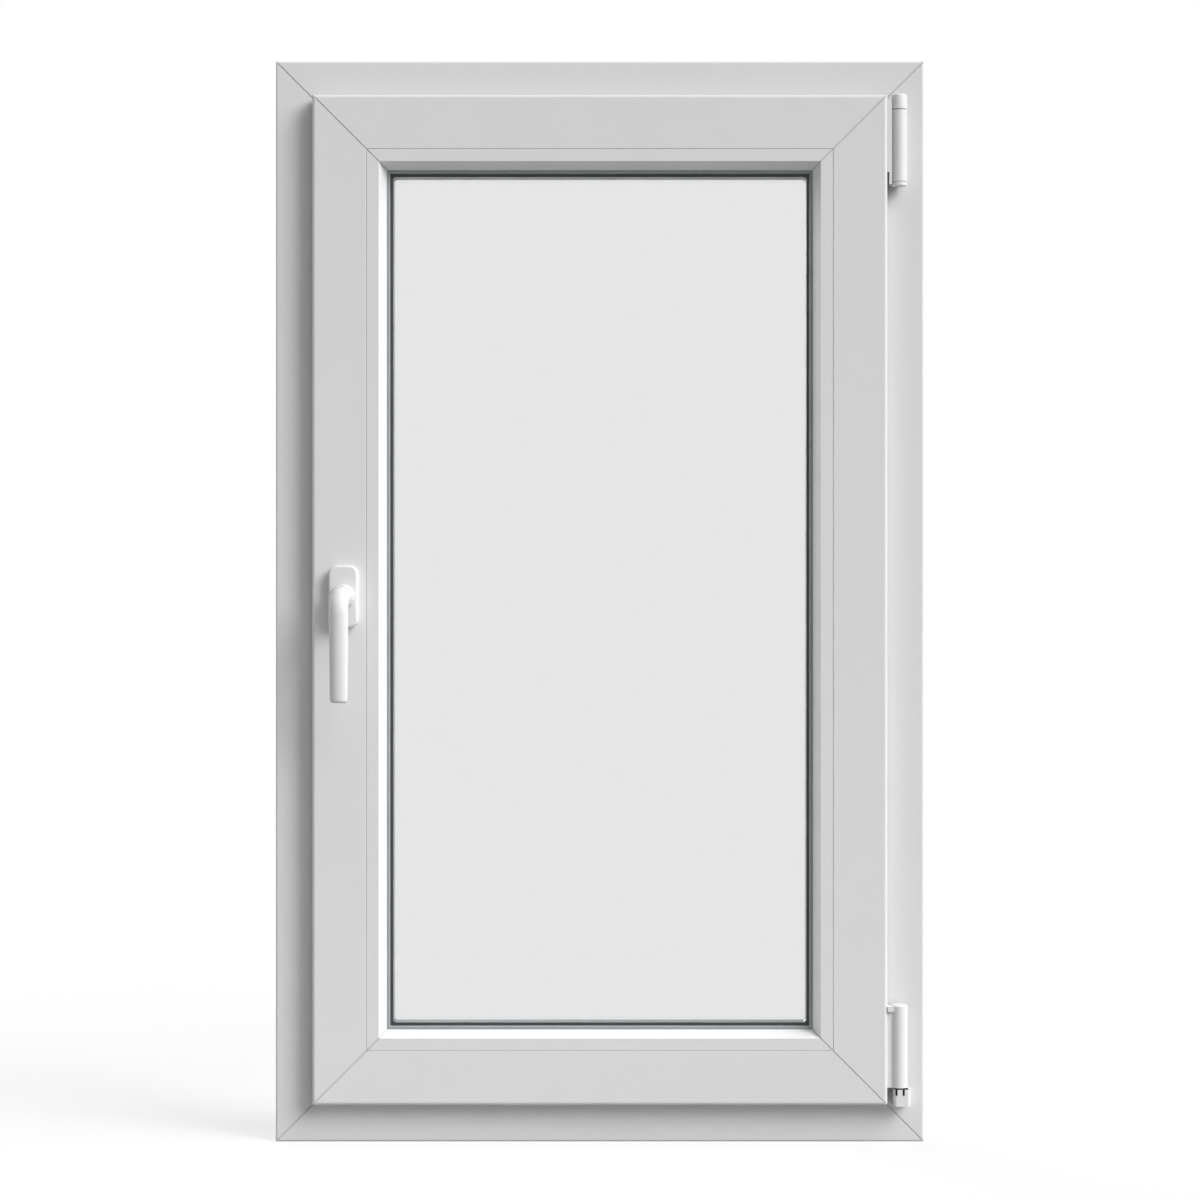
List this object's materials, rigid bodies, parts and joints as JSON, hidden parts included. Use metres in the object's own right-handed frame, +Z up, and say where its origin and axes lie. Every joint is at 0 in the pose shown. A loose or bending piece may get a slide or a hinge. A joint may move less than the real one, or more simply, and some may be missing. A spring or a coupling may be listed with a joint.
{
  "type": "tilt and turn window",
  "caption": "White plastic tilt and turn window: mitred frame and overlapping sash, clipped beads, sealed double glazing, lever handle on the left and covered hinges on the right.",
  "frame": {"origin": "middle of the sill's underside, in the middle of the frame's depth", "axes": "+X to the right seen from the room, +Y to the outside, +Z up"},
  "size_m": [0.6, 0.1494, 1],
  "materials": {
    "profile_white": "satin",
    "glass": "polished",
    "spacer_metal": "satin",
    "sealant": "matte",
    "gasket_grey": "matte",
    "gasket_dark": "matte",
    "block_plastic": "matte",
    "fitting_white": "satin",
    "fitting_steel": "satin",
    "cap_plastic": "satin"
  },
  "bodies": {
    "root": {"frame_sill": "profile_white", "frame_head": "profile_white", "frame_jamb_left": "profile_white", "frame_jamb_right": "profile_white", "sash_bottom_rail": "profile_white", "sash_top_rail": "profile_white", "sash_lock_stile": "profile_white", "sash_hinge_stile": "profile_white", "bead_bottom": "profile_white", "bead_top": "profile_white", "bead_left": "profile_white", "bead_right": "profile_white", "glass_inner_pane": "glass", "glass_outer_pane": "glass", "glass_spacer": "spacer_metal", "glass_edge_seal": "sealant", "gasket_inner": "gasket_grey", "gasket_outer": "gasket_dark", "seal_sash": "gasket_grey", "seal_frame": "gasket_grey", "setting_block_left": "block_plastic", "setting_block_right": "block_plastic", "handle_rosette": "fitting_white", "handle_lever": "fitting_white", "hinge_top_bearing": "fitting_white", "hinge_top_ring": "fitting_white", "hinge_top_cap": "fitting_white", "hinge_top_pin": "fitting_steel", "hinge_top_leaf": "fitting_white", "hinge_bottom_barrel": "fitting_white", "hinge_bottom_rest": "fitting_white", "hinge_bottom_pin": "fitting_steel", "drain_cap_left": "cap_plastic", "drain_cap_right": "cap_plastic"}
  },
  "joints": []
}
